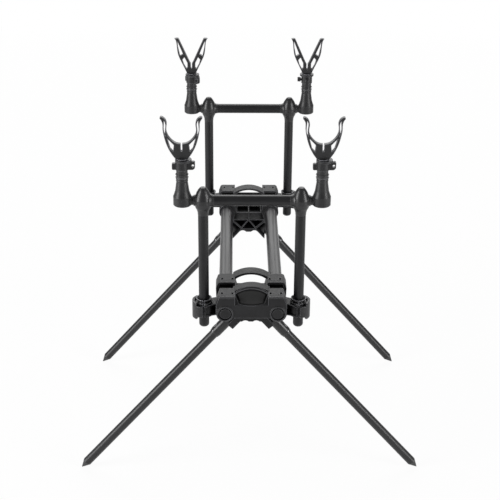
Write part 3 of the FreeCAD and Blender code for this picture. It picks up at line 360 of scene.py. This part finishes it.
def drawn_tube(name, tone, roughness, shine, axis, scratch_tone, line_depth):
    """Painted, anodised or bare tube, with drawing lines of the given depth along its axis and a
    few rubbed spots of the scratch tone."""
    paint = bpy.data.materials.new(name)
    paint.use_nodes = True
    tree = paint.node_tree
    shader = tree.nodes["Principled BSDF"]
    shader.inputs["Specular IOR Level"].default_value = shine
    place = tree.nodes.new("ShaderNodeTexCoord")
    along = tree.nodes.new("ShaderNodeMapping")
    along.vector_type = "TEXTURE"
    lean = Vector((0.0, 0.0, 1.0)).rotation_difference(Vector(axis))
    along.inputs["Rotation"].default_value = lean.to_euler()
    along.inputs["Scale"].default_value = (1.0, 1.0, line_stretch)
    tree.links.new(place.outputs["Object"], along.inputs["Vector"])
    lines = tree.nodes.new("ShaderNodeTexNoise")
    lines.inputs["Scale"].default_value = line_scale
    lines.inputs["Detail"].default_value = line_detail
    tree.links.new(along.outputs[0], lines.inputs["Vector"])
    cloud = tree.nodes.new("ShaderNodeTexNoise")
    cloud.inputs["Scale"].default_value = smudge_scale
    cloud.inputs["Detail"].default_value = smudge_detail
    tree.links.new(place.outputs["Object"], cloud.inputs["Vector"])
    patchy = tree.nodes.new("ShaderNodeMix")
    patchy.data_type = "FLOAT"
    patchy.inputs["Factor"].default_value = smudge_share
    tree.links.new(lines.outputs["Fac"], patchy.inputs["A"])
    tree.links.new(cloud.outputs["Fac"], patchy.inputs["B"])
    colours = tree.nodes.new("ShaderNodeValToRGB")
    colours.color_ramp.elements[0].color = (*[share * dark_paint_share for share in tone], 1.0)
    colours.color_ramp.elements[0].position = dark_paint_until
    colours.color_ramp.elements[1].color = (*[share * pale_paint_share for share in tone], 1.0)
    colours.color_ramp.elements[1].position = pale_paint_from
    wear_and_edge_highlight = colours.color_ramp.elements.new(scratches_from)
    wear_and_edge_highlight.color = (scratch_tone, scratch_tone, scratch_tone, 1.0)
    tree.links.new(patchy.outputs["Result"], colours.inputs["Fac"])
    tree.links.new(colours.outputs["Color"], shader.inputs["Base Color"])
    sheen = tree.nodes.new("ShaderNodeMapRange")
    sheen.inputs["To Min"].default_value = roughness - sheen_swing
    sheen.inputs["To Max"].default_value = roughness + sheen_swing
    tree.links.new(patchy.outputs["Result"], sheen.inputs["Value"])
    tree.links.new(sheen.outputs[0], shader.inputs["Roughness"])
    relief = tree.nodes.new("ShaderNodeBump")
    relief.inputs["Strength"].default_value = line_strength
    relief.inputs["Distance"].default_value = line_depth
    tree.links.new(lines.outputs["Fac"], relief.inputs["Height"])
    tree.links.new(relief.outputs[0], shader.inputs["Normal"])
    return paint


spine_grey = drawn_tube("spine_grey", tone=(0.016, 0.016, 0.017), roughness=0.33, shine=0.5,
                        axis=(0.0, 1.0, 0.0), scratch_tone=0.06, line_depth=0.00003)
finish(["spine_tube_left", "spine_tube_right"], spine_grey)
finish(["spine_end_caps"], block_nylon)

# Clamps: a nylon cross bridge carries a split cup at each side. A smoother bush, its flared lip
# bright with real gloss and a painted highlight, sits in the cup, and a curved cam lever, on a steel pin,
# closes round it.
finish(["near_clamp_bridge", "far_clamp_bridge"], block_nylon)
# The paler corner tone here paints a bright highlight on the lip rim.
bush_nylon = grained_plastic("bush_nylon", tone=(0.014, 0.014, 0.015), roughness=0.28, shine=0.5,
                             grains=2400.0, grain_depth=0.00005, edge_highlight_reach=0.0013, edge_highlight_tone=0.30)
finish(["clamp_bushes"], bush_nylon)
corners = [end + "_" + side for end in ("near", "far") for side in ("left", "right")]
lever_nylon = grained_plastic("lever_nylon", tone=(0.017, 0.017, 0.018), roughness=0.38, shine=0.38,
                              grains=1500.0, grain_depth=0.00015, edge_highlight_reach=0.0010, edge_highlight_tone=0.16)
finish([corner + "_clamp_lever" for corner in corners], lever_nylon)
bright_steel = drawn_tube("bright_steel", tone=(0.46, 0.46, 0.47), roughness=0.30, shine=0.5,
                          axis=(0.0, 0.0, 1.0), scratch_tone=0.36, line_depth=0.00003)
bright_steel.node_tree.nodes["Principled BSDF"].inputs["Metallic"].default_value = 1.0
finish(["lever_and_leg_pins", "block_screws"], bright_steel)

# Posts: at each end two uprights slide in the clamps, joined by a crossbar. Both are aluminium
# tube in satin black powder paint, and a nylon foot cap is pushed up each upright.
upright_paint = drawn_tube("upright_paint", tone=(0.011, 0.011, 0.012), roughness=0.40, shine=0.32,
                           axis=(0.0, 0.0, 1.0), scratch_tone=0.02, line_depth=0.00003)
finish([corner + "_upright" for corner in corners], upright_paint)
crossbar_paint = drawn_tube("crossbar_paint", tone=(0.011, 0.011, 0.012), roughness=0.34, shine=0.36,
                            axis=(1.0, 0.0, 0.0), scratch_tone=0.02, line_depth=0.00003)
finish(["near_crossbar", "far_crossbar"], crossbar_paint)
cap_nylon = grained_plastic("cap_nylon", tone=(0.016, 0.016, 0.017), roughness=0.42, shine=0.4,
                            grains=1800.0, grain_depth=0.0001, edge_highlight_reach=0.0010, edge_highlight_tone=0.06)
finish([end + "_foot_caps" for end in ("near", "far")], cap_nylon)

# Tees: acorn shaped fittings, injection moulded in a smoother nylon than the blocks, with plugs
# that go into the bores of an upright and the crossbar. They mirror the softboxes as long streaks.
tee_nylon = grained_plastic("tee_nylon", tone=(0.014, 0.014, 0.015), roughness=0.35, shine=0.5,
                            grains=2000.0, grain_depth=0.00005, edge_highlight_reach=0.0010, edge_highlight_tone=0.06)
finish([corner + "_tee" for corner in corners], tee_nylon)

# Bell ends: the flared nylon sleeves that take the stems of the rests, with a spigot that goes
# into the tee. Two fine beads are moulded round each neck, where the hand tightens the rest.
bell_nylon = grained_plastic("bell_nylon", tone=(0.016, 0.016, 0.017), roughness=0.40, shine=0.42,
                             grains=1800.0, grain_depth=0.00008, edge_highlight_reach=0.0010, edge_highlight_tone=0.10)
finish([corner + "_bell_end" for corner in corners], bell_nylon)
bell_radius = 0.014
bead_heights = (0.5547, 0.5593)
bead_ring_radius = 0.0091
bead_radius = 0.0009
bead_steps = 64
bead_sides = 10
for corner in corners:
    low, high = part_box(corner + "_bell_end")
    towards_middle = -1.0 if "right" in corner else 1.0
    stem_x = (low.x if "left" in corner else high.x) + towards_middle * bell_radius
    stem_y = (low.y + high.y) / 2.0
    beads = bmesh.new()
    for height in bead_heights:
        rows = []
        for step in range(bead_steps):
            turn = 2.0 * math.pi * step / bead_steps
            row = []
            for side in range(bead_sides):
                tilt = 2.0 * math.pi * side / bead_sides
                reach = bead_ring_radius + bead_radius * math.cos(tilt)
                bead_x = stem_x + reach * math.cos(turn)
                bead_y = stem_y + reach * math.sin(turn)
                bead_z = height + bead_radius * math.sin(tilt)
                row.append(beads.verts.new((bead_x, bead_y, bead_z)))
            rows.append(row)
        for here, after in zip(rows, rows[1:] + rows[:1]):
            for side in range(bead_sides):
                up_side = (side + 1) % bead_sides
                beads.faces.new((here[side], after[side], after[up_side], here[up_side]))
    bmesh.ops.recalc_face_normals(beads, faces=beads.faces)
    bead_mesh = bpy.data.meshes.new(corner + "_neck_beads")
    beads.to_mesh(bead_mesh)
    beads.free()
    bead_mesh.shade_smooth()
    bead_mesh.materials.append(bell_nylon)
    neck_beads = bpy.data.objects.new(corner + "_neck_beads", bead_mesh)
    bpy.context.scene.collection.objects.link(neck_beads)
    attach(neck_beads, corner.split("_")[0] + "_post")

# Collars and knobs: a nylon collar turns under each rest, with a lug for a bite indicator and
# a small thumb knob that nips it fast.
collar_nylon = grained_plastic("collar_nylon", tone=(0.013, 0.013, 0.014), roughness=0.38, shine=0.42,
                               grains=1800.0, grain_depth=0.0001, edge_highlight_reach=0.0010, edge_highlight_tone=0.12)
finish([corner + "_collar" for corner in corners], collar_nylon)
finish([corner + "_knob" for corner in corners], collar_nylon)

# Rests: U grips for the rod butts at the near end and V rests for the rod blanks at the far
# end, each a flat, slightly springy nylon frame with rounded rims, made paler by a painted highlight.
rest_nylon = grained_plastic("rest_nylon", tone=(0.012, 0.012, 0.013), roughness=0.34, shine=0.5,
                             grains=1600.0, grain_depth=0.0001, edge_highlight_reach=0.0012, edge_highlight_tone=0.20)
finish([corner + "_butt_grip" for corner in corners[:2]], rest_nylon)
finish([corner + "_rod_rest" for corner in corners[2:]], rest_nylon)

# Legs: a nylon knuckle hinged in the block, a glossier black painted tube, a turned black
# spike, and the bright steel snap button that holds the tube in the knuckle.
knuckle_nylon = grained_plastic("knuckle_nylon", tone=(0.016, 0.016, 0.017), roughness=0.30, shine=0.5,
                                grains=1600.0, grain_depth=0.00008, edge_highlight_reach=0.0006,
                                edge_highlight_tone=0.05)
finish([corner + "_leg_knuckle" for corner in corners], knuckle_nylon)
for corner in corners:
    ends = [sum(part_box(corner + piece), Vector()) / 2.0 for piece in ("_leg_knuckle", "_leg_spike")]
    leg_axis = (ends[1] - ends[0]).normalized()
    leg_paint = drawn_tube(corner + "_leg_paint", tone=(0.012, 0.012, 0.013), roughness=0.40, shine=0.5,
                           axis=leg_axis, scratch_tone=0.02, line_depth=0.000002)
    finish([corner + "_leg_tube"], leg_paint)
    spike_black = drawn_tube(corner + "_spike_black", tone=(0.022, 0.022, 0.023), roughness=0.32,
                             shine=0.5, axis=leg_axis, scratch_tone=0.05, line_depth=0.000002)
    finish([corner + "_leg_spike"], spike_black)
finish([corner + "_snap_button" for corner in corners], bright_steel)
